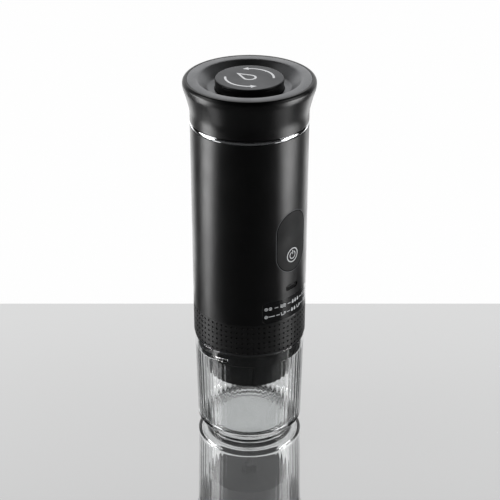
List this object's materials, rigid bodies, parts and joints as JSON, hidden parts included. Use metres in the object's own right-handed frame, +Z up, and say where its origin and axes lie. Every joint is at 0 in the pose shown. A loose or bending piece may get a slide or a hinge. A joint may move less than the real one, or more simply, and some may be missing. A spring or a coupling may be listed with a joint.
{
  "type": "portable espresso maker",
  "caption": "Handheld battery espresso maker: black tube with flared screw cap, chrome ring, power button, USB-C socket, dimpled grip and a clear cup that twists on below.",
  "frame": {"origin": "centre of the clear cup's foot, on the surface that the maker stands on", "axes": "+Z up along the tube, -Y out of the control panel and the USB-C socket"},
  "size_m": [0.0778, 0.0778, 0.2374],
  "materials": {
    "clear_plastic": "clear moulded copolyester",
    "matte_black": "matte powder coat on aluminium",
    "black_plastic": "matte moulded",
    "grip_rubber": "soft-touch, dimpled",
    "panel_soft": "soft-touch",
    "chrome": "polished",
    "grey_cap": "satin",
    "knob_grey": "satin",
    "silver": "satin",
    "stainless": "satin",
    "copper": "enamelled wire",
    "silicone": "matte",
    "silicone_dark": "matte",
    "cell_wrap": "shrink film",
    "nickel": "satin",
    "board_green": "solder mask",
    "chip_black": "moulded epoxy",
    "light_guide": "translucent",
    "label_film": "printed film",
    "heater_film": "polyimide",
    "zinc_steel": "zinc plated"
  },
  "bodies": {
    "cup": {"cup": "clear_plastic"},
    "rim_seal": {"cup_rim_seal": "silicone_dark"},
    "main": {"brew_head": "black_plastic", "shower_screen": "stainless", "head_screws": "zinc_steel", "grip_band": "grip_rubber", "chassis_lower": "black_plastic", "chassis_upper": "black_plastic", "chassis_standoffs": "zinc_steel", "chassis_screws": "zinc_steel", "battery_cell_1": "cell_wrap", "battery_cell_2": "cell_wrap", "battery_cell_3": "cell_wrap", "battery_links": "nickel", "control_board": "board_green", "board_screws": "zinc_steel", "driver_chip": "chip_black", "inductor": "chip_black", "smoothing_capacitors": "nickel", "tact_switch": "chip_black", "usb_socket": "stainless", "pump_cradle": "black_plastic", "pump_tube": "stainless", "pump_coil": "copper", "pump_frame": "zinc_steel", "pump_spring": "stainless", "outlet_hose": "silicone", "inlet_hose": "silicone", "water_tank": "stainless", "heater_band": "heater_film", "temperature_sensor": "silicone", "tank_gasket": "silicone", "tank_collar": "black_plastic", "body_shell": "matte_black", "info_label": "label_film", "control_panel": "panel_soft", "trim_ring": "chrome"},
    "holder_gasket": {"brew_gasket": "silicone_dark"},
    "holder": {"portafilter": "black_plastic", "filter_basket": "stainless"},
    "cap_gasket": {"cap_gasket": "silicone_dark"},
    "cap": {"cap_shell": "matte_black", "cap_top_plate": "grey_cap", "cap_plug": "black_plastic", "cap_screws": "zinc_steel", "vent_spring": "stainless"},
    "vent": {"vent_button": "knob_grey", "vent_badge": "silver", "vent_valve": "silicone", "vent_clip": "stainless"},
    "power_key": {"power_button": "panel_soft", "button_light_guide": "light_guide"},
    "plunger": {"pump_plunger": "stainless"}
  },
  "joints": [
    {"name": "body_lift", "type": "slide", "parent": "cup", "child": "rim_seal", "axis": [0, 0, 1], "range_m": [0, 0.00422]},
    {"name": "body_turn", "type": "hinge", "parent": "rim_seal", "child": "main", "pos_m": [0, 0, 0.0644], "axis": [0, 0, 1], "range_deg": [0, 95]},
    {"name": "holder_drop", "type": "slide", "parent": "main", "child": "holder_gasket", "axis": [0, 0, -1], "range_m": [0, 0.005]},
    {"name": "holder_turn", "type": "hinge", "parent": "holder_gasket", "child": "holder", "pos_m": [0, 0, 0.068], "axis": [0, 0, -1], "range_deg": [0, 300]},
    {"name": "cap_lift", "type": "slide", "parent": "main", "child": "cap_gasket", "axis": [0, 0, 1], "range_m": [0, 0.005]},
    {"name": "cap_turn", "type": "hinge", "parent": "cap_gasket", "child": "cap", "pos_m": [0, 0, 0.2125], "axis": [0, 0, 1], "range_deg": [0, 300]},
    {"name": "vent_press", "type": "slide", "parent": "cap", "child": "vent", "axis": [0, 0, -1], "range_m": [0, 0.0015], "stiffness_N_per_m": 600, "springref_m": -0.003, "deforming": ["vent_spring"]},
    {"name": "power_press", "type": "slide", "parent": "main", "child": "power_key", "axis": [0, 1, 0], "range_m": [0, 0.0006], "stiffness_N_per_m": 1500, "springref_m": -0.0004},
    {"name": "plunger_stroke", "type": "slide", "parent": "main", "child": "plunger", "axis": [0, 0, -1], "range_m": [0, 0.003], "stiffness_N_per_m": 800, "springref_m": -0.001, "deforming": ["pump_spring"]}
  ],
  "couplings": [
    {"joint": "body_lift", "follows": "body_turn", "m_per_rad": 0.0025465},
    {"joint": "holder_drop", "follows": "holder_turn", "m_per_rad": 0.00095493},
    {"joint": "cap_lift", "follows": "cap_turn", "m_per_rad": 0.00095493}
  ]
}
